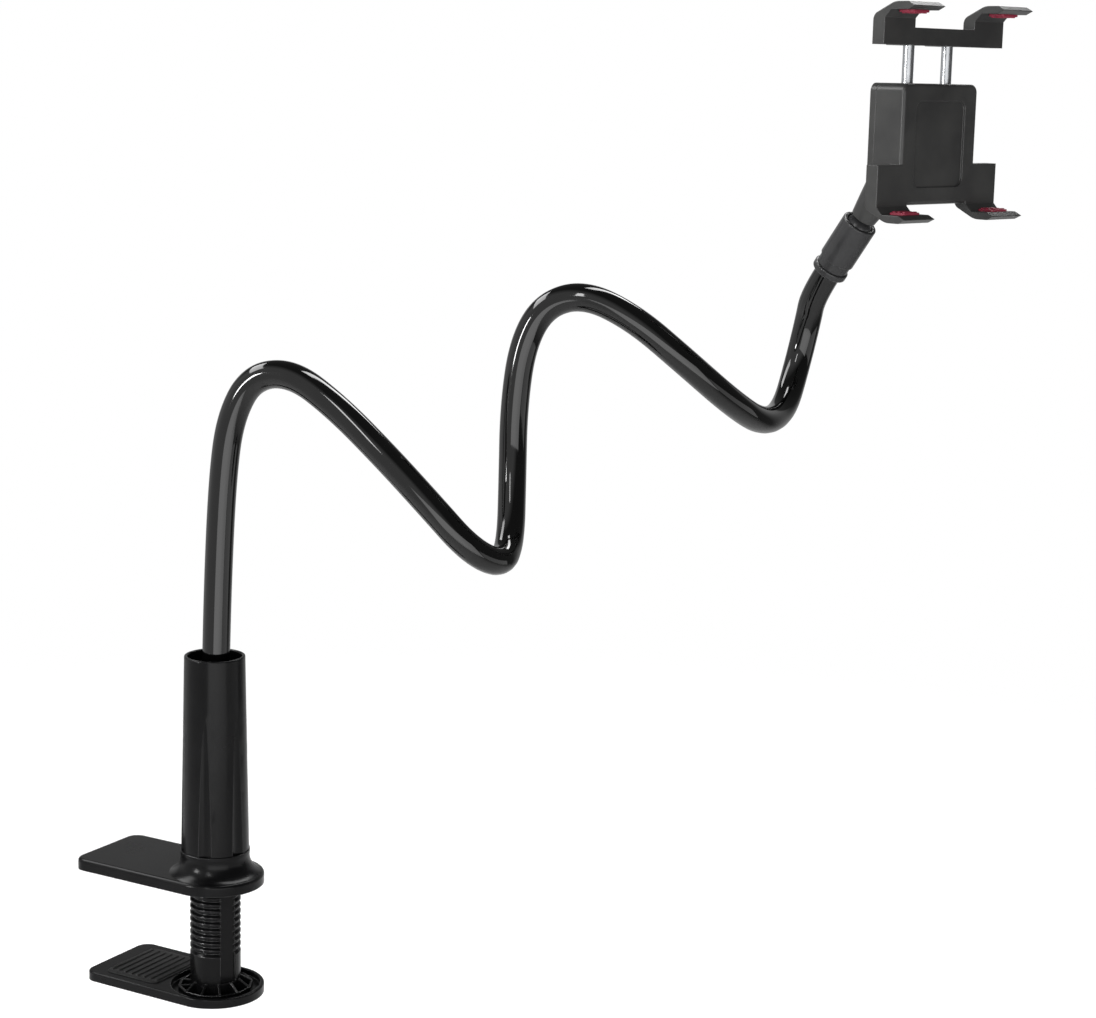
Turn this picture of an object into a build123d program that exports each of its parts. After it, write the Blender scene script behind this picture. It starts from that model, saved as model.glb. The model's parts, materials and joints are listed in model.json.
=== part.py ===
"""Gooseneck holder: a screw clamp, a bendable arm and a sprung four-claw clip on a ball joint.

Millimetres, +Z up. The origin is the centre of the upper jaw's grip pad, on its gripping face.
+Y runs from the clamp's column into the gripped board, +X along the board's edge.
"""

import os
from math import cos, radians, sin, sqrt, tan

from build123d import *

# Clearances
running_gap = 0.1
seat_gap = 0.1
ball_gap = 0.05

# Upper jaw
column_y = -29.0
jaw_radius = 17.8
jaw_plate_thick = 4.2
tongue_reach = 52.6
tongue_corner = 5.0
jaw_edge = 1.2
bell_height = 8.6
bell_top_radius = 12.6
bell_flare_height = 7.4

# Grip pads of both jaws
pad_width = 28.0
pad_length = 24.0
pad_thick = 1.6
pad_proud = 0.8
pad_corner = 3.0

# Column, a long hand nut
column_height = 72.4
column_foot_radius = 12.3
column_rim_radius = 10.95
column_bore_radius = 9.8
nut_length = 16.0
nut_relief = 3.0
nut_relief_depth = 0.6
spigot_radius = 11.0
spigot_length = 9.6
ring_thick = 1.1
ring_depth = 0.8
ring_drop = 5.4
ring_opening = 5.0
flute_count = 6
flute_turn = 20.0
flute_radius = 5.0
flute_floor_radius = 11.35

# Lower jaw and its threaded post
jaw_gap = 37.2
lower_reach = 48.0
lower_corner = 5.0
lower_thick = 3.4
tray_depth = 2.2
rim_wall = 1.4
rib_ring_radius = 13.3
rib_thick = 0.8
rib_drop = 0.2
rib_count = 12
rib_turn = 15.0
gusset_count = 8
gusset_start = 165.0
gusset_rise = 2.6
post_radius = 9.25
post_top = 50.0
thread_pitch = 2.5
thread_depth = 1.1
thread_crest = 0.7
thread_start = 13.8
keyway_width = 6.4
keyway_turn = -20.0
keyway_depth = 1.4
key_height = 2.6

# Arm
arm_radius = 5.0
arm_bottom = -12.0
arm_straight = 12.0
plug_length = 18.0
screw_radius = 2.0
screw_head_radius = 3.5
screw_head_height = 2.4
screw_grip = 10.0

# Clip's place and pose
clip_ahead_x = 142.0
clip_ahead_y = 238.5
clip_height = 284.0
clip_yaw = -16.0

# Claws
open_width = 67.0
claw_spacing = 51.0
claw_width = 17.0
claw_thick = 2.7
claw_reach = 14.4
claw_bevel = 2.8
claw_shoulder = 6.0
claw_drop = 4.4
claw_corner = 2.5
claw_shoulder_round = 8.0
claw_back_round = 3.0
claw_pad_thick = 1.2
claw_pad_width = 9.4
claw_pad_depth = 6.6
wall_front = -2.0
wall_back = 3.0
wing_root = 18.0

# Clip body, slider and spring rods
body_half_width = 21.0
body_top = 10.0
body_bottom = -32.0
body_depth = 12.6
body_round = 3.0
body_edge = 1.2
recess_width = 28.0
recess_height = 30.0
recess_depth = 0.8
channel_width = 8.6
channel_floor = 2.8
channel_top_wall = 3.0
channel_bottom_wall = 3.0
slide_close = 13.0
slider_bar_height = 6.0
rod_spacing = 22.0
rod_radius = 2.0
rod_grip = 7.0
rod_head_radius = 3.6
rod_head_height = 2.0
rod_rest = 13.4
coil_radius = 3.1
wire_radius = 0.4
coil_turns = 7
cover_thick = 2.6
cover_screw_x = 18.2
cover_screw_z = -12.0
cover_screw_radius = 1.4
cover_screw_head = 2.4
cover_screw_head_height = 1.4
cover_screw_length = 8.0
cross_length = 2.8
cross_width = 0.7
cross_depth = 0.9

# Ball joint
ball_behind = 33.6
ball_below = 42.8
neck_rise = 53.7
ball_radius = 5.35
stud_radius = 2.4
stud_length = 18.0
neck_start = 5.4
neck_start_radius = 4.8
neck_mid = 13.0
neck_mid_radius = 5.8
neck_foot_radius = 8.4
sleeve_radius = 6.6
sleeve_bore_radius = 5.5
sleeve_top = 2.8
sleeve_seat = 0.3
sleeve_lip_radius = 5.0
sleeve_mouth_radius = 5.3
sleeve_edge = 0.5
sleeve_bottom = -17.8
sleeve_foot_radius = 6.05
sleeve_foot_height = 3.6
collar_radius = 6.7
collar_thick = 2.6
collar_edge = 0.5
cup_top = -1.6
cup_bottom = -7.2
spigot_pin_radius = 2.9
spigot_pin_length = 11.0

# Heights and radii that follow
bell_foot_radius = jaw_radius - jaw_edge
plate_bottom = pad_proud
plate_top = plate_bottom + jaw_plate_thick
bell_top = plate_top + bell_height
tongue_end = column_y + tongue_reach
key_top = plate_bottom + key_height
spigot_bottom = bell_top - spigot_length
column_foot = bell_top + running_gap
column_top = column_foot + column_height
nut_top = spigot_bottom + nut_length
ring_top = bell_top - ring_drop
ring_bottom = ring_top - ring_thick
rim_top = -jaw_gap - pad_proud
base_bottom = rim_top - lower_thick
tray_floor = rim_top - tray_depth
keyway_floor = post_radius - keyway_depth
keyway_bottom = rim_top + gusset_rise
thread_foot = rim_top + thread_start
thread_root = post_radius - thread_depth
bore_radius = arm_radius + 0.3
plug_bottom = arm_bottom - plug_length
relief_top = spigot_bottom + nut_relief
nut_radius = post_radius + running_gap
relief_radius = nut_radius + nut_relief_depth
claw_inner = open_width / 2 + claw_pad_thick
claw_outer = claw_inner + claw_thick
clip_half_width = (claw_spacing + claw_width) / 2
claw_centres = (-claw_spacing / 2, claw_spacing / 2)
body_back = wall_front + body_depth
slider_bottom = body_top + slide_close
slider_bar_top = slider_bottom + slider_bar_height
channel_front = wall_front + channel_floor
channel_top = body_top - channel_top_wall
channel_bottom = body_bottom + channel_bottom_wall
rod_y = channel_front + channel_width / 2
rod_head_bottom = channel_bottom + rod_rest
rod_head_top = rod_head_bottom + rod_head_height
rod_top = slider_bottom + rod_grip
cover_back = body_back + cover_thick

# Planes: the column's half section, and the clip's own top, side and front views
column_axis = Axis((0, column_y, 0), (0, 0, 1))
column_section = Plane(origin=(0, column_y, 0), x_dir=(1, 0, 0), z_dir=(0, -1, 0))
clip_origin = Vector(clip_ahead_x, -clip_ahead_y, clip_height)
clip_x = Vector(cos(radians(clip_yaw)), sin(radians(clip_yaw)), 0)
clip_y = Vector(-sin(radians(clip_yaw)), cos(radians(clip_yaw)), 0)
clip_z = Vector(0, 0, 1)


def clip_point(x, y, z):
    return clip_origin + clip_x * x + clip_y * y + clip_z * z


def clip_level(z):
    return Plane(origin=clip_point(0, 0, z), x_dir=clip_x, z_dir=clip_z)


def clip_side(x):
    return Plane(origin=clip_point(x, 0, 0), x_dir=clip_y, z_dir=clip_x)


def clip_face(y):
    return Plane(origin=clip_point(0, y, 0), x_dir=clip_x, z_dir=clip_y * -1)


# Ball joint's axis, from the arm up to the clip
ball_centre = clip_point(0, ball_behind, -ball_below)
head_axis_dir = clip_y * -cos(radians(neck_rise)) + clip_z * sin(radians(neck_rise))
head_axis = Axis(ball_centre, head_axis_dir)
head_section = Plane(origin=ball_centre, x_dir=clip_x, z_dir=clip_x.cross(head_axis_dir))
collar_top = sleeve_bottom - running_gap
collar_bottom = collar_top - collar_thick
seat_radius = ball_radius + ball_gap
arm_end = ball_centre + head_axis_dir * collar_bottom
arm_approach = ball_centre + head_axis_dir * (collar_bottom - arm_straight)


def head_level(height):
    return Plane(origin=ball_centre + head_axis_dir * height, x_dir=clip_x, z_dir=head_axis_dir)


def ball_edge(radius, height):
    return sqrt(radius**2 - height**2)


# Upper jaw: a flat tongue with a flared bell that carries the column
with BuildPart() as upper_jaw:
    with BuildSketch(Plane.XY.offset(plate_bottom)) as plate_outline:
        with Locations((0, column_y)):
            Circle(jaw_radius)
        with Locations((0, column_y + tongue_reach / 2)):
            Rectangle(2 * jaw_radius, tongue_reach)
        fillet(plate_outline.vertices().group_by(Axis.Y)[-1], tongue_corner)
    extrude(amount=jaw_plate_thick)
    fillet(upper_jaw.faces().sort_by(Axis.Z)[-1].edges(), jaw_edge)
    with BuildSketch(column_section):
        with BuildLine():
            Polyline(
                (bell_top_radius, plate_top + bell_flare_height),
                (bell_top_radius, bell_top),
                (0, bell_top),
                (0, plate_top - 1),
                (bell_foot_radius, plate_top - 1),
                (bell_foot_radius, plate_top),
            )
            ThreePointArc(
                (bell_foot_radius, plate_top),
                (
                    bell_top_radius + 0.3 * (bell_foot_radius - bell_top_radius),
                    plate_top + 0.3 * bell_flare_height,
                ),
                (bell_top_radius, plate_top + bell_flare_height),
            )
        make_face()
    revolve(axis=column_axis)
    # seat for the column's spigot
    with BuildSketch(Plane.XY.offset(key_top)):
        with Locations((0, column_y)):
            Circle(spigot_radius + running_gap)
    extrude(amount=bell_top - key_top, mode=Mode.SUBTRACT)
    # groove for the retaining ring
    with BuildSketch(Plane.XY.offset(ring_bottom - seat_gap)):
        with Locations((0, column_y)):
            Circle(spigot_radius + ring_depth + seat_gap)
    extrude(amount=ring_thick + 2 * seat_gap, mode=Mode.SUBTRACT)
    # keyed hole that keeps the post from turning
    with BuildSketch(Plane.XY.offset(plate_bottom)):
        with Locations((0, column_y)):
            Circle(post_radius + running_gap)
            Rectangle(
                keyway_width - 2 * running_gap, 3 * post_radius, keyway_turn, mode=Mode.SUBTRACT
            )
            Rectangle(keyway_width, 2 * (keyway_floor + running_gap), keyway_turn)
    extrude(amount=jaw_plate_thick, mode=Mode.SUBTRACT)
    # pocket for the grip pad
    with BuildSketch(Plane.XY.offset(plate_bottom)):
        RectangleRounded(pad_width + 2 * seat_gap, pad_length + 2 * seat_gap, pad_corner)
    extrude(amount=pad_thick - pad_proud, mode=Mode.SUBTRACT)

with BuildPart() as upper_jaw_pad:
    with BuildSketch():
        RectangleRounded(pad_width, pad_length, pad_corner)
    extrude(amount=pad_thick)

# Column: tapered hand nut, open at the top, with shallow flutes that run out upwards
with BuildPart() as column:
    with BuildSketch(column_section):
        with BuildLine():
            Polyline(
                (relief_radius, spigot_bottom),
                (spigot_radius, spigot_bottom),
                (spigot_radius, column_foot),
                (column_foot_radius, column_foot),
                (column_rim_radius, column_top),
                (column_bore_radius, column_top),
                (column_bore_radius, nut_top),
                (nut_radius, nut_top),
                (nut_radius, relief_top),
                (relief_radius, relief_top),
                close=True,
            )
        make_face()
    revolve(axis=column_axis)
    with BuildSketch(Plane.XY.offset(ring_bottom - seat_gap)):
        with Locations((0, column_y)):
            Circle(spigot_radius + 1)
            Circle(spigot_radius - ring_depth, mode=Mode.SUBTRACT)
    extrude(amount=ring_thick + 2 * seat_gap, mode=Mode.SUBTRACT)
    with BuildSketch(Plane.XY.offset(column_foot)):
        with Locations((0, column_y)):
            with PolarLocations(flute_floor_radius + flute_radius, flute_count, flute_turn):
                Circle(flute_radius)
    extrude(amount=column_height, mode=Mode.SUBTRACT)
    fillet(column.faces().sort_by(Axis.Z)[-1].edges(), (column_rim_radius - column_bore_radius) * 0.4)

# Open ring that holds the column's spigot in the bell
with BuildPart() as column_retaining_ring:
    with BuildSketch(Plane.XY.offset(ring_bottom)):
        with Locations((0, column_y)):
            Circle(spigot_radius + ring_depth)
            Circle(spigot_radius - ring_depth + seat_gap, mode=Mode.SUBTRACT)
        with Locations((0, column_y + spigot_radius)):
            Rectangle(ring_opening, spigot_radius, mode=Mode.SUBTRACT)
    extrude(amount=ring_thick)

# Lower jaw: rimmed and ribbed plate in one piece with its threaded, keyed post
thread_count = int((post_top - thread_foot) / thread_pitch)
flank = (thread_pitch - thread_crest) / 2
tooth_profile = []
for tooth in range(thread_count):
    foot = thread_foot + tooth * thread_pitch
    tooth_profile += [
        (thread_root, foot),
        (post_radius, foot + flank),
        (post_radius, foot + flank + thread_crest),
    ]

with BuildPart() as lower_jaw:
    with BuildSketch(Plane.XY.offset(base_bottom)) as lower_outline:
        with Locations((0, column_y)):
            Circle(jaw_radius)
        with Locations((0, column_y + lower_reach / 2)):
            Rectangle(2 * jaw_radius, lower_reach)
        fillet(lower_outline.vertices().group_by(Axis.Y)[-1], lower_corner)
    extrude(amount=lower_thick)
    fillet(lower_jaw.faces().sort_by(Axis.Z)[-1].edges(), 0.6)
    # round tray between the post and the rim
    with BuildSketch(Plane.XY.offset(tray_floor)):
        with Locations((0, column_y)):
            Circle(jaw_radius - rim_wall)
    extrude(amount=tray_depth, mode=Mode.SUBTRACT)
    # many-sided ring rib and spokes in the tray
    with BuildSketch(Plane.XY.offset(tray_floor)):
        with Locations((0, column_y)):
            RegularPolygon(rib_ring_radius + rib_thick / 2, rib_count, rotation=rib_turn)
            RegularPolygon(
                rib_ring_radius - rib_thick / 2, rib_count, rotation=rib_turn, mode=Mode.SUBTRACT
            )
            with PolarLocations((post_radius - 1 + rib_ring_radius) / 2, rib_count, rib_turn):
                Rectangle(rib_ring_radius - post_radius + 1, rib_thick)
    extrude(amount=tray_depth - rib_drop)
    # gussets from the spokes up to the post, on the side away from the board
    for gusset in range(gusset_count):
        angle = radians(gusset_start + gusset * 360 / rib_count)
        gusset_side = Plane(
            origin=(0, column_y, rim_top - rib_drop),
            x_dir=(cos(angle), sin(angle), 0),
            z_dir=(sin(angle), -cos(angle), 0),
        )
        with BuildSketch(gusset_side):
            with BuildLine():
                Polyline(
                    (keyway_floor, -rib_thick),
                    (rib_ring_radius, -rib_thick),
                    (rib_ring_radius, 0),
                    (post_radius, gusset_rise),
                    (keyway_floor, gusset_rise),
                    close=True,
                )
            make_face()
        extrude(amount=rib_thick / 2, both=True)
    # post with its thread
    with BuildSketch(column_section):
        with BuildLine():
            Polyline(
                (0, base_bottom),
                (post_radius, base_bottom),
                (post_radius, thread_foot - thread_depth),
                *tooth_profile,
                (thread_root, post_top),
                (0, post_top),
                close=True,
            )
        make_face()
    revolve(axis=column_axis)
    # two keyways along the post
    with BuildSketch(Plane.XY.offset(keyway_bottom)):
        with Locations((0, column_y)):
            with PolarLocations(post_radius, 2, 90 + keyway_turn):
                Rectangle(2 * keyway_depth, keyway_width)
    extrude(amount=post_top - keyway_bottom, mode=Mode.SUBTRACT)
    # bore for the arm, and the hole and recess for its screw
    with BuildSketch(Plane.XY.offset(plug_bottom)):
        with Locations((0, column_y)):
            Circle(bore_radius)
    extrude(amount=post_top - plug_bottom, mode=Mode.SUBTRACT)
    with BuildSketch(Plane.XY.offset(base_bottom)):
        with Locations((0, column_y)):
            Circle(screw_radius + running_gap)
    extrude(amount=plug_bottom - base_bottom, mode=Mode.SUBTRACT)
    with BuildSketch(Plane.XY.offset(base_bottom)):
        with Locations((0, column_y)):
            Circle(screw_head_radius + 2 * running_gap)
    extrude(amount=screw_head_height + seat_gap, mode=Mode.SUBTRACT)
    # pocket for the grip pad
    with BuildSketch(Plane.XY.offset(rim_top - pad_thick + pad_proud)):
        RectangleRounded(pad_width + 2 * seat_gap, pad_length + 2 * seat_gap, pad_corner)
    extrude(amount=pad_thick, mode=Mode.SUBTRACT)

with BuildPart() as lower_jaw_pad:
    with BuildSketch(Plane.XY.offset(-jaw_gap)):
        RectangleRounded(pad_width, pad_length, pad_corner)
    extrude(amount=-pad_thick)

# Plug under the arm and the screw that draws it down into the post
with BuildPart() as arm_base_plug:
    with BuildSketch(Plane.XY.offset(plug_bottom)):
        with Locations((0, column_y)):
            Circle(arm_radius)
    extrude(amount=plug_length)
    with BuildSketch(Plane.XY.offset(plug_bottom)):
        with Locations((0, column_y)):
            Circle(screw_radius)
    extrude(amount=screw_grip + 1, mode=Mode.SUBTRACT)

with BuildPart() as arm_fixing_screw:
    with BuildSketch(Plane.XY.offset(base_bottom)):
        with Locations((0, column_y)):
            Circle(screw_head_radius)
    extrude(amount=screw_head_height)
    with BuildSketch(Plane.XY.offset(base_bottom)):
        with Locations((0, column_y)):
            Circle(screw_radius)
    extrude(amount=plug_bottom + screw_grip - base_bottom)
    with BuildSketch(Plane.XY.offset(base_bottom)):
        with Locations((0, column_y)):
            RegularPolygon(1.5, 6)
    extrude(amount=1.4, mode=Mode.SUBTRACT)

# Arm: one bendable tube, its route chosen by hand, with every bend as large as its runs allow.
# The last dip hangs from the arm's end, so it goes along when the clip's place changes.
route = [
    Vector(0, column_y, arm_bottom),
    Vector(0, column_y, 62),
    Vector(0.5, -30, 112),
    Vector(1.7, -31.5, 152),
    Vector(2.5, -34.5, 173),
    Vector(5, -42, 187.5),
    Vector(8, -57, 190),
    Vector(10, -75, 179),
    Vector(12.5, -94, 163),
    Vector(16.5, -110, 147),
    Vector(23.5, -121.5, 132),
    Vector(36, -127, 125),
    Vector(49.5, -122.5, 131),
    Vector(59, -117, 151),
    Vector(61.5, -115.5, 177),
    Vector(63.5, -117.5, 200),
    Vector(66.5, -124.5, 214),
    Vector(71, -138, 218.5),
    Vector(77, -155, 210.5),
    Vector(86, -171, 195.5),
    arm_approach + Vector(-54.5, 5.5, -35),
    arm_approach + Vector(-33.5, 3, -44.5),
    arm_approach + Vector(-11, 5, -43),
    arm_approach + Vector(3.5, 7, -27.5),
    arm_approach + Vector(4.5, 3.5, -9.5),
    arm_approach,
    arm_end,
]
bend_radii = []
for before, corner, after in zip(route, route[1:], route[2:]):
    turn = radians((corner - before).get_angle(after - corner))
    shorter_run = min((corner - before).length, (after - corner).length)
    bend_radii.append(0.45 * shorter_run / tan(turn / 2))
print("arm bends", [round(r, 1) for r in bend_radii])

with BuildPart() as gooseneck:
    with BuildLine() as arm_line:
        FilletPolyline(*route, radius=bend_radii)
    with BuildSketch(Plane.XY.offset(arm_bottom)):
        with Locations((0, column_y)):
            Circle(arm_radius)
    sweep()
    with BuildSketch(head_level(collar_bottom)):
        Circle(spigot_pin_radius + seat_gap)
    extrude(amount=-spigot_pin_length - 0.5, mode=Mode.SUBTRACT)
arm_length = sum(edge.length for edge in arm_line.edges())
print("arm length", round(arm_length, 1), "volume", round(gooseneck.part.volume))

# Ball joint on the arm's end: collared stem, turning cup, screwed sleeve and ball stud
with BuildPart() as arm_socket:
    with BuildSketch(head_section):
        with BuildLine():
            Polyline(
                (0, collar_bottom - spigot_pin_length),
                (spigot_pin_radius, collar_bottom - spigot_pin_length),
                (spigot_pin_radius, collar_bottom),
                (collar_radius, collar_bottom),
                (collar_radius, collar_top),
                (sleeve_bore_radius - running_gap, collar_top),
                (sleeve_bore_radius - running_gap, cup_bottom - running_gap),
                (0, cup_bottom - running_gap),
                close=True,
            )
        make_face()
    revolve(axis=head_axis)
    collar_rims = arm_socket.edges().filter_by(GeomType.CIRCLE).group_by(SortBy.RADIUS)[-1]
    fillet(collar_rims, collar_edge)

with BuildPart() as ball_cup:
    with BuildSketch(head_section):
        with BuildLine():
            Polyline(
                (0, -seat_radius),
                (0, cup_bottom),
                (sleeve_bore_radius - running_gap, cup_bottom),
                (sleeve_bore_radius - running_gap, cup_top),
                (ball_edge(seat_radius, cup_top), cup_top),
            )
            ThreePointArc(
                (ball_edge(seat_radius, cup_top), cup_top),
                (ball_edge(seat_radius, 0.5 * seat_radius), -0.5 * seat_radius),
                (0, -seat_radius),
            )
        make_face()
    revolve(axis=head_axis)

lip_height = ball_edge(seat_radius, sleeve_lip_radius)
seat_edge = ball_edge(seat_radius, sleeve_seat)
seat_middle = (sleeve_seat + lip_height) / 2
with BuildPart() as lock_sleeve:
    with BuildSketch(head_section):
        with BuildLine():
            ThreePointArc(
                (seat_edge, sleeve_seat),
                (ball_edge(seat_radius, seat_middle), seat_middle),
                (sleeve_lip_radius, lip_height),
            )
            Polyline(
                (sleeve_lip_radius, lip_height),
                (sleeve_mouth_radius, sleeve_top),
                (sleeve_radius, sleeve_top),
                (sleeve_radius, sleeve_bottom + sleeve_foot_height),
                (sleeve_foot_radius, sleeve_bottom + sleeve_foot_height),
                (sleeve_foot_radius, sleeve_bottom),
                (sleeve_bore_radius, sleeve_bottom),
                (sleeve_bore_radius, sleeve_seat),
                (seat_edge, sleeve_seat),
            )
        make_face()
    revolve(axis=head_axis)
    fillet(lock_sleeve.edges().filter_by(GeomType.CIRCLE).sort_by(head_axis)[-1], sleeve_edge)

with BuildPart() as ball_stud:
    with BuildSketch(head_section):
        with BuildLine():
            ThreePointArc(
                (0, -ball_radius),
                (ball_radius, 0),
                (stud_radius, ball_edge(ball_radius, stud_radius)),
            )
            Polyline(
                (stud_radius, ball_edge(ball_radius, stud_radius)),
                (stud_radius, stud_length),
                (0, stud_length),
                (0, -ball_radius),
            )
        make_face()
    revolve(axis=head_axis)


# Clip
def claw_outline(side, root):
    """Side view of one claw: back wall, bevelled shoulder, pointed tip. side is 1 up, -1 down."""
    tip_start = claw_bevel - claw_reach
    points = [
        (wall_back, root),
        (wall_back, claw_outer - claw_drop),
        (-claw_shoulder, claw_outer),
        (tip_start, claw_outer),
        (-claw_reach, claw_inner + claw_thick / 2),
        (tip_start, claw_inner),
        (wall_front - claw_corner, claw_inner),
        (wall_front, claw_inner - claw_corner),
        (wall_front, root),
    ]
    return [(y, side * z) for y, z in points]


def claw_corner_at(outline, y, z):
    return outline.vertices().sort_by_distance((y, z))[0]


# Slider: the two upper claws, a cross bar and sockets for the spring rods
with BuildPart() as clip_slider:
    with BuildSketch(clip_level(slider_bottom)):
        with Locations((0, (wall_front + wall_back) / 2)):
            Rectangle(2 * clip_half_width, wall_back - wall_front)
        with Locations((-rod_spacing / 2, rod_y), (rod_spacing / 2, rod_y)):
            Rectangle(channel_width, 2 * (rod_y - wall_front - 0.5))
    extrude(amount=slider_bar_height)
    for claw_x in claw_centres:
        with BuildSketch(clip_side(claw_x - claw_width / 2)) as upper_claw:
            with BuildLine():
                Polyline(*claw_outline(1, slider_bottom), close=True)
            make_face()
            fillet(claw_corner_at(upper_claw, wall_back, claw_outer - claw_drop), claw_back_round)
            fillet(claw_corner_at(upper_claw, -claw_shoulder, claw_outer), claw_shoulder_round)
        extrude(amount=claw_width)
    with BuildSketch(clip_level(slider_bottom)):
        with Locations((-rod_spacing / 2, rod_y), (rod_spacing / 2, rod_y)):
            Circle(rod_radius)
    extrude(amount=rod_grip - 2, mode=Mode.SUBTRACT)

# Body: the two lower claws and a housing with a channel for each spring, open at the back
with BuildPart() as clip_body:
    with BuildSketch(clip_face(body_back)):
        with Locations((0, (body_top + body_bottom) / 2)):
            RectangleRounded(2 * body_half_width, body_top - body_bottom, body_round)
    extrude(amount=body_depth)
    fillet(clip_body.faces().sort_by(Axis(clip_origin, clip_y))[0].edges(), body_edge)
    with BuildSketch(clip_face(wall_front)):
        with Locations((0, (body_top + body_bottom) / 2)):
            RectangleRounded(recess_width, recess_height, body_round)
    extrude(amount=-recess_depth, mode=Mode.SUBTRACT)
    for claw_x in claw_centres:
        with BuildSketch(clip_side(claw_x - claw_width / 2)) as lower_claw:
            with BuildLine():
                Polyline(*claw_outline(-1, wing_root), close=True)
            make_face()
            fillet(claw_corner_at(lower_claw, wall_back, claw_drop - claw_outer), claw_back_round)
            fillet(claw_corner_at(lower_claw, -claw_shoulder, -claw_outer), claw_shoulder_round)
        extrude(amount=claw_width)
    with BuildSketch(clip_face(body_back)):
        for rod_x in (-rod_spacing / 2, rod_spacing / 2):
            with Locations((rod_x, (channel_top + channel_bottom) / 2)):
                Rectangle(channel_width, channel_top - channel_bottom)
    extrude(amount=body_back - channel_front, mode=Mode.SUBTRACT)
    with BuildSketch(clip_level(channel_top)):
        with Locations((-rod_spacing / 2, rod_y), (rod_spacing / 2, rod_y)):
            Circle(rod_radius + running_gap)
    extrude(amount=channel_top_wall, mode=Mode.SUBTRACT)
    with BuildSketch(clip_face(body_back)):
        with Locations((-cover_screw_x, cover_screw_z), (cover_screw_x, cover_screw_z)):
            Circle(cover_screw_radius)
    extrude(amount=cover_screw_length, mode=Mode.SUBTRACT)

# Back cover with the flared neck that takes the ball stud
neck_end = (ball_behind - body_back) / cos(radians(neck_rise)) + neck_foot_radius
with BuildPart() as clip_back_cover:
    with BuildSketch(head_section):
        with BuildLine():
            ThreePointArc(
                (neck_start_radius, neck_start),
                (neck_mid_radius, neck_mid),
                (neck_foot_radius, neck_end - neck_foot_radius),
            )
            Polyline(
                (neck_foot_radius, neck_end - neck_foot_radius),
                (neck_foot_radius, neck_end + neck_foot_radius),
                (0, neck_end + neck_foot_radius),
                (0, neck_start),
                (neck_start_radius, neck_start),
            )
        make_face()
    revolve(axis=head_axis)
    split(bisect_by=clip_face(body_back), keep=Keep.BOTTOM)
    with BuildSketch(clip_face(cover_back)):
        with Locations((0, (body_top + body_bottom) / 2)):
            RectangleRounded(2 * body_half_width, body_top - body_bottom, body_round)
    extrude(amount=cover_thick)
    with BuildSketch(head_level(neck_start)):
        Circle(stud_radius)
    extrude(amount=stud_length - neck_start + 0.5, mode=Mode.SUBTRACT)
    with BuildSketch(clip_face(cover_back)):
        with Locations((-cover_screw_x, cover_screw_z), (cover_screw_x, cover_screw_z)):
            Circle(cover_screw_head + running_gap)
    extrude(amount=cover_screw_head_height, mode=Mode.SUBTRACT)
    with BuildSketch(clip_face(cover_back)):
        with Locations((-cover_screw_x, cover_screw_z), (cover_screw_x, cover_screw_z)):
            Circle(cover_screw_radius + running_gap)
    extrude(amount=cover_thick, mode=Mode.SUBTRACT)

with BuildPart() as cover_screws:
    for screw_x in (-cover_screw_x, cover_screw_x):
        with BuildSketch(clip_face(cover_back)):
            with Locations((screw_x, cover_screw_z)):
                Circle(cover_screw_head)
        extrude(amount=cover_screw_head_height)
        with BuildSketch(clip_face(cover_back)):
            with Locations((screw_x, cover_screw_z)):
                Circle(cover_screw_radius)
        extrude(amount=cover_screw_length)
        with BuildSketch(clip_face(cover_back)):
            with Locations((screw_x, cover_screw_z)):
                Rectangle(cross_length, cross_width)
                Rectangle(cross_width, cross_length)
        extrude(amount=cross_depth, mode=Mode.SUBTRACT)


# Steel rods, headed at the bottom, that draw the slider down through their springs
def make_rod(x):
    with BuildPart() as rod:
        with BuildSketch(clip_level(rod_head_bottom)):
            with Locations((x, rod_y)):
                Circle(rod_head_radius)
        extrude(amount=rod_head_height)
        with BuildSketch(clip_level(rod_head_bottom)):
            with Locations((x, rod_y)):
                Circle(rod_radius)
        extrude(amount=rod_top - 2 - rod_head_bottom)
    return rod.part


def make_spring(x):
    height = channel_top - rod_head_top - 2 * wire_radius - 2 * seat_gap
    foot = Plane(origin=clip_point(x, rod_y, rod_head_top + wire_radius + seat_gap), x_dir=clip_x, z_dir=clip_z)
    with BuildPart() as spring:
        with BuildLine(foot) as coil:
            Helix(pitch=height / coil_turns, height=height, radius=coil_radius)
        with BuildSketch(Plane(origin=coil.line @ 0, z_dir=coil.line % 0)):
            Circle(wire_radius)
        sweep(is_frenet=True)
    return spring.part


def make_claw_pad(x, side):
    with BuildPart() as pad:
        with BuildSketch(clip_level(side * open_width / 2)):
            with Locations((x, wall_front - claw_corner - claw_pad_depth / 2)):
                RectangleRounded(claw_pad_width, claw_pad_depth, 1.0)
        extrude(amount=side * claw_pad_thick)
    return pad.part


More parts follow.
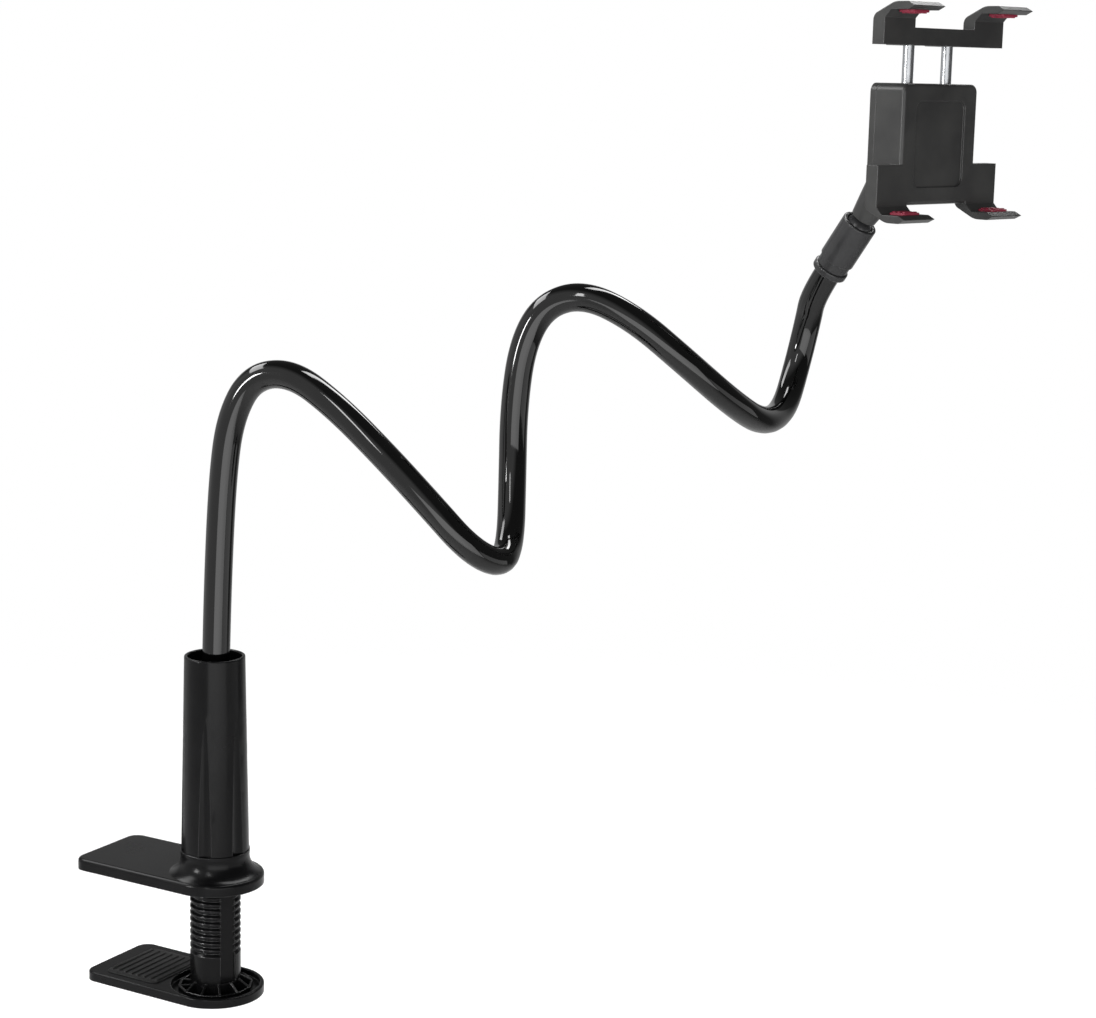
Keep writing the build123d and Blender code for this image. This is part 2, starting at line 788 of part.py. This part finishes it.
pieces = {
    "upper_jaw": upper_jaw.part,
    "upper_jaw_pad": upper_jaw_pad.part,
    "column": column.part,
    "column_retaining_ring": column_retaining_ring.part,
    "lower_jaw": lower_jaw.part,
    "lower_jaw_pad": lower_jaw_pad.part,
    "arm_base_plug": arm_base_plug.part,
    "arm_fixing_screw": arm_fixing_screw.part,
    "gooseneck": gooseneck.part,
    "arm_socket": arm_socket.part,
    "ball_cup": ball_cup.part,
    "lock_sleeve": lock_sleeve.part,
    "ball_stud": ball_stud.part,
    "clip_back_cover": clip_back_cover.part,
    "cover_screws": cover_screws.part,
    "clip_body": clip_body.part,
    "clip_slider": clip_slider.part,
    "guide_rod_left": make_rod(-rod_spacing / 2),
    "guide_rod_right": make_rod(rod_spacing / 2),
    "clip_spring_left": make_spring(-rod_spacing / 2),
    "clip_spring_right": make_spring(rod_spacing / 2),
    "upper_claw_pad_left": make_claw_pad(claw_centres[0], 1),
    "upper_claw_pad_right": make_claw_pad(claw_centres[1], 1),
    "lower_claw_pad_left": make_claw_pad(claw_centres[0], -1),
    "lower_claw_pad_right": make_claw_pad(claw_centres[1], -1),
}

os.makedirs("parts", exist_ok=True)
for name, piece in pieces.items():
    piece.label = name
    export_step(piece, f"parts/{name}.step")
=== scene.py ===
"""Looks of the gooseneck clamp holder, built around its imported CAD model. Metres, same frame."""

import json
from math import pi, radians

import bmesh
import bpy
from mathutils import Euler, Matrix, Vector


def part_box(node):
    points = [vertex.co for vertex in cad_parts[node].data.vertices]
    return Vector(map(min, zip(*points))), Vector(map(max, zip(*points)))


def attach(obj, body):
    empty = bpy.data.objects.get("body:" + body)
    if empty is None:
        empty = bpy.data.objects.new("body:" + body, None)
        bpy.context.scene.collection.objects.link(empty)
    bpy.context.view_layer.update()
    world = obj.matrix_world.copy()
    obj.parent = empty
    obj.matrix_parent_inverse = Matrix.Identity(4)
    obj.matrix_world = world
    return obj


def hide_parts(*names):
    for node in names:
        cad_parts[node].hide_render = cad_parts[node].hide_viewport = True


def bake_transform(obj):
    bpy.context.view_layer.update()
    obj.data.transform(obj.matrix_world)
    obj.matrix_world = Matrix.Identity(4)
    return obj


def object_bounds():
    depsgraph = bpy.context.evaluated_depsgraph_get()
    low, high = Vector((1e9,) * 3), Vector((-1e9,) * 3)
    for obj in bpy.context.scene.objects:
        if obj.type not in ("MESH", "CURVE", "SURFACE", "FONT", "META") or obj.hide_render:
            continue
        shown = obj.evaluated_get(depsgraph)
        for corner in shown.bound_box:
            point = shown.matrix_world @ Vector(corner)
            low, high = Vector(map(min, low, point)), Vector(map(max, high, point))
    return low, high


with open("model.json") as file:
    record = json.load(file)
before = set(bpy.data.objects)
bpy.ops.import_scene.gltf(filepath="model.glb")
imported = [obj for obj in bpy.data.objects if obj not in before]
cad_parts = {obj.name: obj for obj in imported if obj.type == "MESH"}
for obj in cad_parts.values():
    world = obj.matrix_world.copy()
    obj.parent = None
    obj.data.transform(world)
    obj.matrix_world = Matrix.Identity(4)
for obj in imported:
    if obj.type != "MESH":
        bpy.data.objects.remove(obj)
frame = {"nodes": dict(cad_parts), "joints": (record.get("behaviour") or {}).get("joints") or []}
cad_low, cad_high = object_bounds()
nodes = frame["nodes"]
MM = 0.001


# Shader tools

def linear(hex_colour):
    """sRGB hex to linear RGBA."""
    parts = [int(hex_colour[i : i + 2], 16) / 255 for i in (1, 3, 5)]
    return [c / 12.92 if c <= 0.04045 else ((c + 0.055) / 1.055) ** 2.4 for c in parts] + [1.0]


def feed(tree, target, value):
    """Links a socket to an input, or sets the input to a value."""
    if isinstance(value, bpy.types.NodeSocket):
        tree.links.new(value, target)
    else:
        target.default_value = value


def add_node(tree, kind, settings=None, **inputs):
    """Adds a node with its properties and its named inputs."""
    made = tree.nodes.new(kind)
    for key, value in (settings or {}).items():
        setattr(made, key, value)
    for key, value in inputs.items():
        feed(tree, made.inputs[key.replace("_", " ")], value)
    return made


def combine(tree, operation, first, second):
    """One number from two."""
    made = add_node(tree, "ShaderNodeMath", {"operation": operation})
    feed(tree, made.inputs[0], first)
    feed(tree, made.inputs[1], second)
    return made.outputs["Value"]


def alignment(tree, first, second):
    """Cosine of the angle between two directions."""
    made = add_node(tree, "ShaderNodeVectorMath", {"operation": "DOT_PRODUCT"})
    feed(tree, made.inputs[0], first)
    feed(tree, made.inputs[1], second)
    return made.outputs["Value"]


def mix_shaders(tree, factor, first, second):
    """One shader from two."""
    made = add_node(tree, "ShaderNodeMixShader", Fac=factor)
    feed(tree, made.inputs[1], first)
    feed(tree, made.inputs[2], second)
    return made.outputs["Shader"]


def colour_band(tree, factor, dark, light, low=0.35, high=0.65):
    """A colour between dark and light, where the factor goes from low to high."""
    band = add_node(tree, "ShaderNodeValToRGB", Fac=factor)
    band.color_ramp.elements[0].position = low
    band.color_ramp.elements[0].color = linear(dark)
    band.color_ramp.elements[1].position = high
    band.color_ramp.elements[1].color = linear(light)
    return band.outputs["Color"]


def span(tree, factor, low, high, start=0.3, end=0.7, smooth=False):
    """Stretches the values from start to end to the range low to high."""
    made = add_node(
        tree,
        "ShaderNodeMapRange",
        {"interpolation_type": "SMOOTHSTEP" if smooth else "LINEAR"},
        Value=factor,
        From_Min=start,
        From_Max=end,
        To_Min=low,
        To_Max=high,
    )
    return made.outputs["Result"]


# Materials

def new_material(name):
    """An empty material: itself, its tree, its shader, the piece's coordinates in millimetres."""
    made = bpy.data.materials.new(name)
    made.use_nodes = True
    tree = made.node_tree
    tree.nodes.clear()
    output = add_node(tree, "ShaderNodeOutputMaterial")
    shader = add_node(tree, "ShaderNodeBsdfPrincipled")
    tree.links.new(shader.outputs["BSDF"], output.inputs["Surface"])
    where = add_node(tree, "ShaderNodeTexCoord")
    in_mm = add_node(
        tree,
        "ShaderNodeVectorMath",
        {"operation": "SCALE"},
        Vector=where.outputs["Object"],
        Scale=1 / MM,
    )
    return made, tree, shader, in_mm.outputs["Vector"]


def tint(tree, shader, pattern, colours, gloss):
    """Colour and roughness drift together with one pattern."""
    tree.links.new(colour_band(tree, pattern, *colours), shader.inputs["Base Color"])
    tree.links.new(span(tree, pattern, *gloss), shader.inputs["Roughness"])


# Injection-moulded ABS: even pigment, a spark-eroded grain that breaks up the highlight, slow
# changes of gloss where the tool was polished, and rounded edges, shinier than the faces, that
# catch thin lines of light. The grain is drawn about twice as coarse as the real one, so that it
# shows in the render. Flatness is the cosine between the surface's normal and the rounded one: the
# edge's shine is full below edge_flatness and the face's own above face_flatness.
grain_mm = 0.45
grain_strength = 0.35
polish_mm = 14.0
edge_round_mm = 0.5
edge_shine = 1.0
edge_flatness = 0.8
face_flatness = 0.99
abs_ior = 1.53


def moulded_abs(name, colours, gloss, shine, grain_height_mm):
    made, tree, shader, place = new_material(name)
    grain = add_node(tree, "ShaderNodeTexNoise", Vector=place, Scale=1 / grain_mm, Detail=2.0)
    polish = add_node(tree, "ShaderNodeTexNoise", Vector=place, Scale=1 / polish_mm, Detail=3.0)
    corner = add_node(tree, "ShaderNodeBevel", {"samples": 4}, Radius=edge_round_mm * MM)
    bump = add_node(
        tree,
        "ShaderNodeBump",
        Height=grain.outputs["Fac"],
        Strength=grain_strength,
        Distance=grain_height_mm * MM,
        Normal=corner.outputs["Normal"],
    )
    tint(tree, shader, polish.outputs["Fac"], colours, gloss)
    tree.links.new(bump.outputs["Normal"], shader.inputs["Normal"])
    shader.inputs["IOR"].default_value = abs_ior
    surface = add_node(tree, "ShaderNodeNewGeometry")
    flatness = alignment(tree, surface.outputs["Normal"], corner.outputs["Normal"])
    shine_here = span(tree, flatness, edge_shine, shine, edge_flatness, face_flatness)
    tree.links.new(shine_here, shader.inputs["Specular IOR Level"])
    return made


clamp_abs = moulded_abs(
    "clamp_abs_satin_black",
    colours=("#09090a", "#0d0d0e"),
    gloss=(0.2, 0.28),
    shine=0.15,
    grain_height_mm=0.008,
)
joint_abs = moulded_abs(
    "joint_abs_dark_grey",
    colours=("#262627", "#2e2e2f"),
    gloss=(0.2, 0.28),
    shine=0.5,
    grain_height_mm=0.008,
)
clip_abs = moulded_abs(
    "clip_abs_grey",
    colours=("#303030", "#3a3a39"),
    gloss=(0.28, 0.34),
    shine=0.4,
    grain_height_mm=0.012,
)


# Extruded PVC skin: deep black and wet-looking, with long shallow waves from the cooling bath that
# make its thin streaks of light swim a little.
wave_mm = 9.0
wave_height_mm = 0.02
wave_strength = 0.3
pvc_ior = 1.53


def extruded_pvc(name, colours, gloss):
    made, tree, shader, place = new_material(name)
    waves = add_node(tree, "ShaderNodeTexNoise", Vector=place, Scale=1 / wave_mm, Detail=1.0)
    bump = add_node(
        tree,
        "ShaderNodeBump",
        Height=waves.outputs["Fac"],
        Strength=wave_strength,
        Distance=wave_height_mm * MM,
    )
    tint(tree, shader, waves.outputs["Fac"], colours, gloss)
    tree.links.new(bump.outputs["Normal"], shader.inputs["Normal"])
    shader.inputs["IOR"].default_value = pvc_ior
    return made


arm_pvc = extruded_pvc(
    "arm_pvc_gloss_black", colours=("#040404", "#070707"), gloss=(0.05, 0.08)
)


# Moulded rubber: dull, with a pitted skin that scatters the light, and a paler bloom in patches.
pit_mm = 0.6
pit_strength = 0.4
bloom_mm = 6.0
rubber_ior = 1.52


def moulded_rubber(name, colours, gloss, pit_height_mm):
    made, tree, shader, place = new_material(name)
    pits = add_node(tree, "ShaderNodeTexVoronoi", Vector=place, Scale=1 / pit_mm)
    bloom = add_node(tree, "ShaderNodeTexNoise", Vector=place, Scale=1 / bloom_mm, Detail=4.0)
    bump = add_node(
        tree,
        "ShaderNodeBump",
        Height=pits.outputs["Distance"],
        Strength=pit_strength,
        Distance=pit_height_mm * MM,
    )
    tint(tree, shader, bloom.outputs["Fac"], colours, gloss)
    tree.links.new(bump.outputs["Normal"], shader.inputs["Normal"])
    shader.inputs["IOR"].default_value = rubber_ior
    return made


grip_rubber = moulded_rubber(
    "grip_rubber_black", colours=("#101010", "#191919"), gloss=(0.65, 0.8), pit_height_mm=0.06
)
claw_silicone = moulded_rubber(
    "claw_silicone_crimson", colours=("#8a2139", "#962740"), gloss=(0.38, 0.5), pit_height_mm=0.004
)


# Cold-drawn steel: bright, with long fine scratches along the rod that streak its reflections.
scratch_mm = 0.15
scratch_length_mm = 3.0


def drawn_steel(name, colours, gloss):
    made, tree, shader, place = new_material(name)
    stretched = add_node(
        tree,
        "ShaderNodeMapping",
        Vector=place,
        Scale=(1 / scratch_mm, 1 / scratch_mm, 1 / scratch_length_mm),
    )
    scratches = add_node(
        tree, "ShaderNodeTexNoise", Vector=stretched.outputs["Vector"], Scale=1.0, Detail=4.0
    )
    tint(tree, shader, scratches.outputs["Fac"], colours, gloss)
    shader.inputs["Metallic"].default_value = 1.0
    return made


rod_steel = drawn_steel(
    "rod_steel_bright_drawn", colours=("#a9abae", "#c4c6c8"), gloss=(0.2, 0.34)
)


# Zinc-plated steel: a greyer, faintly blue coat with a fine spangle that dulls it in specks.
spangle_mm = 0.8


def zinc_plate(name, colours, gloss):
    made, tree, shader, place = new_material(name)
    spangle = add_node(tree, "ShaderNodeTexVoronoi", Vector=place, Scale=1 / spangle_mm)
    tint(tree, shader, spangle.outputs["Distance"], colours, gloss)
    shader.inputs["Metallic"].default_value = 1.0
    return made


screw_zinc = zinc_plate(
    "screw_steel_zinc_plated", colours=("#8f9397", "#aeb2b6"), gloss=(0.28, 0.42)
)

finishes = {
    clamp_abs: ["upper_jaw", "column", "lower_jaw"],
    joint_abs: ["arm_socket", "ball_cup", "lock_sleeve", "ball_stud"],
    clip_abs: ["clip_back_cover", "clip_body", "clip_slider"],
    rod_steel: ["guide_rod_left", "guide_rod_right"],
    screw_zinc: ["column_retaining_ring", "arm_base_plug", "arm_fixing_screw", "cover_screws"],
}
for finish, names in finishes.items():
    for name in names:
        nodes[name].data.materials.clear()
        nodes[name].data.materials.append(finish)


# Pieces

def mesh_of(name, form):
    """The finished form as a mesh."""
    mesh = bpy.data.meshes.new(name)
    form.to_mesh(mesh)
    form.free()
    return mesh


def bevel(form, edges, offset, segments):
    """Rounds edges of the form."""
    bmesh.ops.bevel(
        form,
        geom=edges,
        offset=offset,
        offset_type="OFFSET",
        affect="EDGES",
        segments=segments,
        profile=0.5,
        material=-1,
        clamp_overlap=True,
    )


def place_piece(name, mesh, finish, body, node):
    """Puts a finished mesh in the scene in place of its CAD node, attached to its body if it has
    one.
    """
    piece = bpy.data.objects.new(name, mesh)
    bpy.context.scene.collection.objects.link(piece)
    mesh.materials.append(finish)
    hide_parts(node)
    if body:
        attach(piece, body)
    return piece


# Arm: one smooth tube along the listed route, in millimetres. Its last dip hangs from its end,
# which sits in the collar below the ball joint.
arm_radius = 5.0
arm_straight = 12.0
ball_centre = Vector((151.261, -206.202, 241.200))
head_axis = Vector((-0.163181, -0.569080, 0.805928)).normalized()
collar_drop = 20.5
arm_end = ball_centre - head_axis * collar_drop
arm_approach = arm_end - head_axis * arm_straight
arm_route = [
    (0, -29, -12),
    (0, -29, 62),
    (0.5, -30, 112),
    (1.7, -31.5, 152),
    (2.5, -34.5, 173),
    (5, -42, 187.5),
    (8, -57, 190),
    (10, -75, 179),
    (12.5, -94, 163),
    (16.5, -110, 147),
    (23.5, -121.5, 132),
    (36, -127, 125),
    (49.5, -122.5, 131),
    (59, -117, 151),
    (61.5, -115.5, 177),
    (63.5, -117.5, 200),
    (66.5, -124.5, 214),
    (71, -138, 218.5),
    (77, -155, 210.5),
    (86, -171, 195.5),
    arm_approach + Vector((-54.5, 5.5, -35)),
    arm_approach + Vector((-33.5, 3, -44.5)),
    arm_approach + Vector((-11, 5, -43)),
    arm_approach + Vector((3.5, 7, -27.5)),
    arm_approach + Vector((4.5, 3.5, -9.5)),
    arm_approach,
    arm_end,
]


def tube_along(name, route, radius):
    """A round tube along a smooth curve that the route's points pull, as a mesh."""
    line = bpy.data.curves.new(name, "CURVE")
    line.dimensions = "3D"
    spline = line.splines.new("NURBS")
    spline.points.add(len(route) - 1)
    for point, place in zip(spline.points, route):
        point.co = (*(Vector(place) * MM), 1.0)
    spline.order_u = 3
    spline.use_endpoint_u = True
    spline.resolution_u = 12
    line.bevel_depth = radius * MM
    line.bevel_resolution = 8
    line.use_fill_caps = True
    holder = bpy.data.objects.new(name, line)
    bpy.context.scene.collection.objects.link(holder)
    solved = holder.evaluated_get(bpy.context.evaluated_depsgraph_get())
    mesh = bpy.data.meshes.new_from_object(solved)
    bpy.data.objects.remove(holder)
    for face in mesh.polygons:
        face.use_smooth = True
    return mesh


# The arm's tube, put in the gooseneck's place with no body
arm_mesh = tube_along("arm_line", arm_route, arm_radius)
arm = place_piece("arm_tube", arm_mesh, arm_pvc, None, "gooseneck")
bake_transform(arm)


# Grip and claw pads: rubber blocks with rounded corners and raised ribs across
corner_segments = 6
edge_segments = 2
cut_snap_mm = 0.03
sharp_angle = radians(40)


def rounded_block(form, width, length, thick, corner):
    """A block about the origin with rounded upright corners."""
    bmesh.ops.create_cube(form, size=1.0)
    bmesh.ops.scale(form, vec=(width, length, thick), verts=form.verts)
    upright = [edge for edge in form.edges if edge.verts[0].co.xy == edge.verts[1].co.xy]
    bevel(form, upright, corner, corner_segments)


def raise_ribs(form, centres, rib_width, rib_end, rise):
    """Cuts the ribs' outlines into the block and lifts them from its top, with sloping sides."""
    half = rib_width / 2
    cuts = [((x, 0, 0), (1, 0, 0)) for x in (-rib_end, rib_end)]
    cuts += [((0, y + side, 0), (0, 1, 0)) for y in centres for side in (-half, half)]
    for point, normal in cuts:
        everything = form.verts[:] + form.edges[:] + form.faces[:]
        bmesh.ops.bisect_plane(
            form, geom=everything, dist=cut_snap_mm * MM, plane_co=point, plane_no=normal
        )
    form.normal_update()
    crests = []
    for face in form.faces:
        spot = face.calc_center_median()
        on_rib = abs(spot.x) < rib_end and any(abs(spot.y - y) < half for y in centres)
        looks_up = face.normal.z > 0.5
        if on_rib and looks_up:
            crests.append(face)
    slope = rise / 3
    bmesh.ops.inset_region(form, faces=crests, thickness=slope, depth=rise, use_even_offset=True)


def ribbed_pad(name, node, size, corner, ribs, turn_z, face_down):
    """A pad in the place of its CAD node. ribs: their count, width, end margin and rise, in mm."""
    low, high = (Vector(point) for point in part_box(node))
    width, length = size[0] * MM, size[1] * MM
    rib_count, rib_width, margin, rise = ribs[0], *(value * MM for value in ribs[1:])
    thick = high.z - low.z
    form = bmesh.new()
    rounded_block(form, width, length, thick - rise, corner * MM)
    bmesh.ops.translate(form, vec=(0, 0, -rise / 2), verts=form.verts)
    pitch = length / rib_count
    centres = [(index + 0.5) * pitch - length / 2 for index in range(rib_count)]
    raise_ribs(form, centres, rib_width, width / 2 - margin, rise)
    form.normal_update()
    sharp = [edge for edge in form.edges if edge.calc_face_angle(0) > sharp_angle]
    edge_round = rise / 4
    bevel(form, sharp, edge_round, edge_segments)
    flip = Matrix.Rotation(pi if face_down else 0, 4, "X")
    place = Matrix.Translation((low + high) / 2) @ Matrix.Rotation(turn_z, 4, "Z") @ flip
    bmesh.ops.transform(form, matrix=place, verts=form.verts)
    return mesh_of(name, form)


grip_size = (28.0, 24.0)
grip_corner = 3.0
grip_ribs = (8, 1.6, 2.0, 0.5)
for jaw, body, face_down in (("upper", "clamp", True), ("lower", "lower_jaw", False)):
    node = f"{jaw}_jaw_pad"
    name = f"{jaw}_grip_pad"
    mesh = ribbed_pad(
        name, node, grip_size, grip_corner, grip_ribs, turn_z=0.0, face_down=face_down
    )
    place_piece(name, mesh, grip_rubber, body, node)

clip_yaw = radians(-16)
claw_pad_size = (9.4, 6.6)
claw_pad_corner = 1.0
claw_pad_ribs = (3, 1.2, 1.2, 0.4)
for row, body, face_down in (("upper", "clip_slider", True), ("lower", "clip", False)):
    for side in ("left", "right"):
        node = f"{row}_claw_pad_{side}"
        name = f"{row}_{side}_claw_grip"
        mesh = ribbed_pad(
            name,
            node,
            claw_pad_size,
            claw_pad_corner,
            claw_pad_ribs,
            turn_z=clip_yaw,
            face_down=face_down,
        )
        place_piece(name, mesh, claw_silicone, body, node)


# Springs: wire coils round the guide rods, held by the housing at the top and by the rods' heads at
# the bottom, each one mesh in its CAD node's place with no body
wire_mm = 0.4
wire_segments = 8
coil_turns = 7
coil_steps = 24
order_way = Vector((1, 3, 9))


def settle_order(form):
    """Orders the elements by their places alone, so that every run makes the same mesh."""
    form.verts.sort(key=lambda vert: vert.co.dot(order_way))
    form.faces.sort(key=lambda face: face.calc_center_median().dot(order_way))


def wire_coil(name, node):
    """A ring of wire, turned about the rod's axis and raised at every step."""
    low, high = (Vector(point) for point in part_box(node))
    wire = wire_mm * MM
    steps = coil_turns * coil_steps
    axis_point = Vector(((low.x + high.x) / 2, (low.y + high.y) / 2, low.z + wire))
    start = axis_point + Vector(((high.x - low.x) / 2 - wire, 0, 0))
    form = bmesh.new()
    bmesh.ops.create_circle(form, segments=wire_segments, radius=wire)
    upright = Matrix.Rotation(pi / 2, 3, "X")
    bmesh.ops.rotate(form, cent=(0, 0, 0), matrix=upright, verts=form.verts)
    bmesh.ops.translate(form, vec=start, verts=form.verts)
    bmesh.ops.spin(
        form,
        geom=form.verts[:] + form.edges[:],
        cent=axis_point,
        axis=(0, 0, 1),
        dvec=(0, 0, (high.z - low.z - 2 * wire) / steps),
        angle=coil_turns * 2 * pi,
        steps=steps,
    )
    bmesh.ops.holes_fill(form, edges=[edge for edge in form.edges if edge.is_boundary])
    bmesh.ops.recalc_face_normals(form, faces=form.faces)
    for face in form.faces:
        face.smooth = len(face.verts) == 4
    settle_order(form)
    return mesh_of(name, form)


for side in ("left", "right"):
    node = f"clip_spring_{side}"
    name = f"{side}_wire_coil"
    coil = place_piece(name, wire_coil(name, node), rod_steel, None, node)
    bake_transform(coil)


# Stage: white paper just below the lower jaw's lowest place. It thins out to nothing far from the
# holder, and glows a little for the camera alone, so that it meets the white background unseen.
jaw_slide = next(joint for joint in frame["joints"] if joint["name"] == "jaw_slide")
floor_drop = MM - jaw_slide["range_m"][0]
floor_centre = (0.05, -0.1)
floor_radius = 1.6
floor_segments = 96
paper_near_mm = 150.0
paper_far_mm = 700.0
paper_roughness = 0.9
paper_glow = 0.33


def floor_paper():
    made, tree, shader, place = new_material("floor_paper_white")
    away = add_node(tree, "ShaderNodeVectorMath", {"operation": "LENGTH"}, Vector=place)
    fade = span(tree, away.outputs["Value"], 0.0, 1.0, paper_near_mm, paper_far_mm, smooth=True)
    rays = add_node(tree, "ShaderNodeLightPath")
    glow = combine(tree, "MULTIPLY", rays.outputs["Is Camera Ray"], paper_glow)
    shader.inputs["Base Color"].default_value = linear("#f4f4f4")
    shader.inputs["Roughness"].default_value = paper_roughness
    shader.inputs["Emission Color"].default_value = linear("#ffffff")
    tree.links.new(glow, shader.inputs["Emission Strength"])
    clear = add_node(tree, "ShaderNodeBsdfTransparent")
    seen = mix_shaders(tree, fade, shader.outputs["BSDF"], clear.outputs["BSDF"])
    tree.links.new(seen, tree.nodes["Material Output"].inputs["Surface"])
    return made


disc = bmesh.new()
bmesh.ops.create_circle(disc, cap_ends=True, segments=floor_segments, radius=floor_radius)
floor = bpy.data.objects.new("floor", mesh_of("floor", disc))
floor.location = (*floor_centre, cad_low[2] - floor_drop)
floor.data.materials.append(floor_paper())
bpy.context.scene.collection.objects.link(floor)


# Studio: the camera sees plain white. Reflections see a bright cove on the left and a dim wall at
# the back that ends above the clamp. What is matt gets a soft fill from the cove's side. A reach is
# a pair of cosines to the light's way, from where it starts to where it is full.
cove_way = Vector((-0.85, 0.35, -0.35)).normalized()
cove_levels = (0.1, 0.7)
cove_reach = (0.0, 0.4)
fill_levels = (0.15, 0.5)
fill_reach = (-0.4, 0.6)
wall_way = Vector((0.86, 0.5, 0.0)).normalized()
wall_reach = (0.45, 0.75)
wall_top = (0.31, 0.37)
wall_level = 0.5


def light_from(tree, strength):
    """White light from the world."""
    lit = add_node(tree, "ShaderNodeBackground", Color=(1, 1, 1, 1), Strength=strength)
    return lit.outputs["Background"]


def studio_world():
    world = bpy.data.worlds.new("studio")
    world.use_nodes = True
    tree = world.node_tree
    tree.nodes.clear()
    rays = add_node(tree, "ShaderNodeLightPath").outputs
    outlook = add_node(tree, "ShaderNodeTexCoord").outputs["Generated"]
    height = add_node(tree, "ShaderNodeSeparateXYZ", Vector=outlook).outputs["Z"]
    to_cove = alignment(tree, outlook, cove_way)
    to_wall = alignment(tree, outlook, wall_way)
    cove = span(tree, to_cove, *cove_levels, *cove_reach)
    wall_side = span(tree, to_wall, 0.0, 1.0, *wall_reach)
    wall_height = span(tree, height, wall_level, 0.0, *wall_top)
    wall = combine(tree, "MULTIPLY", wall_side, wall_height)
    fill = span(tree, to_cove, *fill_levels, *fill_reach)
    mirrored = combine(tree, "MAXIMUM", rays["Is Glossy Ray"], rays["Is Transmission Ray"])
    reflected = light_from(tree, combine(tree, "MAXIMUM", cove, wall))
    unseen = mix_shaders(tree, mirrored, light_from(tree, fill), reflected)
    seen = mix_shaders(tree, rays["Is Camera Ray"], unseen, light_from(tree, 1.0))
    sky = add_node(tree, "ShaderNodeOutputWorld")
    tree.links.new(seen, sky.inputs["Surface"])
    return world


bpy.context.scene.world = studio_world()

lamp_target = Vector((0.05, -0.11, 0.15))


def softbox(name, place, size, watts):
    """A rectangular lamp that faces the holder."""
    lamp = bpy.data.lights.new(name, "AREA")
    lamp.shape = "RECTANGLE"
    lamp.size, lamp.size_y = size
    lamp.energy = watts
    holder = bpy.data.objects.new(name, lamp)
    holder.location = place
    aim = lamp_target - Vector(place)
    holder.rotation_euler = aim.to_track_quat("-Z", "Y").to_euler()
    bpy.context.scene.collection.objects.link(holder)


softbox("front_low_box", (-0.87, -1.0, -0.1), (1.7, 0.8), watts=8.5)
softbox("overhead_strip", (0.62, -0.11, 1.2), (0.2, 1.1), watts=7)
softbox("upper_front_strip", (-0.97, -0.3, 0.78), (0.1, 0.45), watts=1.8)
softbox("left_strip", (-1.0, 0.42, 0.4), (0.12, 0.3), watts=5)
softbox("rear_top_panel", (-0.1, 0.75, 0.95), (1.0, 0.3), watts=6)
softbox("low_right_box", (0.43, -1.36, -0.15), (1.3, 0.5), watts=1.7)

# Camera at the photograph's viewing angle
picture_width_px = 1096
focal_length_px = 2400
camera_place = (-0.6676, -0.5515, 0.2963)
camera_turn = radians(-60)
camera_dip = radians(10.4)
camera_roll = radians(1.3)

lens = bpy.data.cameras.new("camera")
lens.sensor_fit = "HORIZONTAL"
lens.sensor_width = 36.0
lens.lens = lens.sensor_width * focal_length_px / picture_width_px
lens.clip_start = 0.01
camera = bpy.data.objects.new("camera", lens)
aim = Euler((pi / 2 - camera_dip, 0, camera_turn)).to_matrix().to_4x4()
roll = Matrix.Rotation(camera_roll, 4, "Z")
camera.matrix_world = Matrix.Translation(camera_place) @ aim @ roll
bpy.context.scene.collection.objects.link(camera)
bpy.context.scene.camera = camera
bpy.context.scene.view_settings.view_transform = "Standard"
